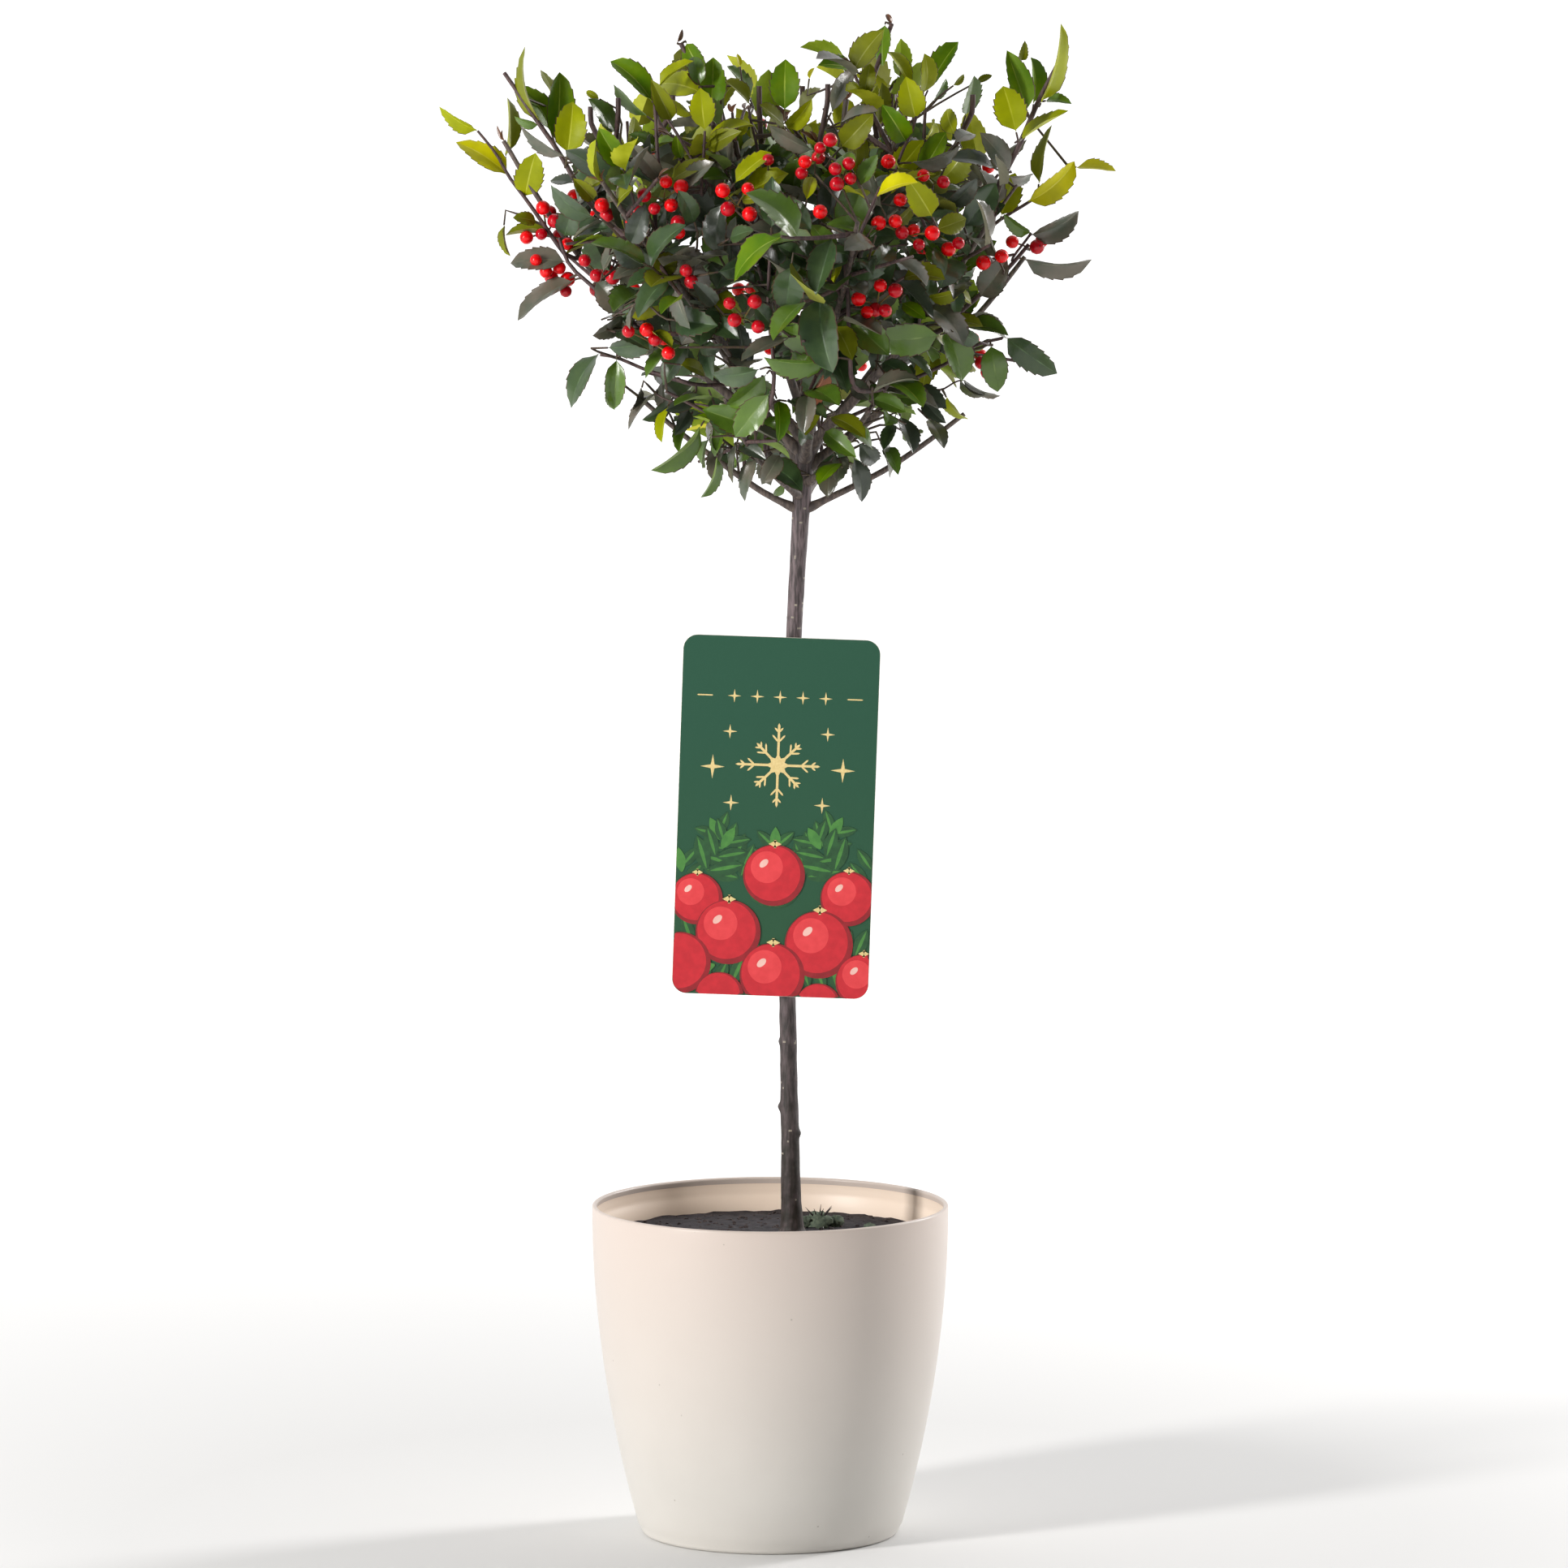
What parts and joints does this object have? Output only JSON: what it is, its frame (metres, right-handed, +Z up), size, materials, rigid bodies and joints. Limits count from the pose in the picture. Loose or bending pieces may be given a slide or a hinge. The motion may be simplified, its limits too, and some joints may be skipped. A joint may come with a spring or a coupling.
{
  "type": "potted standard holly tree",
  "caption": "Young holly grown as a standard: bare leaning trunk, wide bowl-shaped crown of spiny glossy leaves and red berries, in a round cream pot with a green picture card.",
  "frame": {"origin": "middle of the pot's flat underside", "axes": "+Z up along the pot's axis, +X to the right of the card's printed face, -Y out of the card's face towards the viewer"},
  "size_m": [0.4132, 0.4085, 0.9382],
  "materials": {
    "pot": "satin",
    "soil": "matte",
    "bark": "matte",
    "foliage": "satin",
    "card": "satin",
    "band": "matte"
  },
  "bodies": {
    "root": {"pot": "pot", "soil": "soil", "trunk": "bark", "card": "card", "card_band": "band", "skirt_1_bough": "bark", "skirt_2_bough": "bark", "skirt_3_bough": "bark", "skirt_4_bough": "bark", "skirt_5_bough": "bark", "skirt_6_bough": "bark", "main_1_bough": "bark", "main_2_bough": "bark", "main_3_bough": "bark", "main_4_bough": "bark", "main_5_bough": "bark", "main_6_bough": "bark", "main_7_bough": "bark", "main_8_bough": "bark", "upright_1_bough": "bark", "upright_2_bough": "bark", "upright_3_bough": "bark", "upright_4_bough": "bark", "leader_bough": "bark", "skirt_1_foliage": "foliage", "skirt_2_foliage": "foliage", "skirt_3_foliage": "foliage", "skirt_4_foliage": "foliage", "skirt_5_foliage": "foliage", "skirt_6_foliage": "foliage", "main_1_foliage": "foliage", "main_2_foliage": "foliage", "main_3_foliage": "foliage", "main_4_foliage": "foliage", "main_5_foliage": "foliage", "main_6_foliage": "foliage", "main_7_foliage": "foliage", "main_8_foliage": "foliage", "upright_1_foliage": "foliage", "upright_2_foliage": "foliage", "upright_3_foliage": "foliage", "upright_4_foliage": "foliage", "leader_foliage": "foliage"}
  },
  "joints": []
}
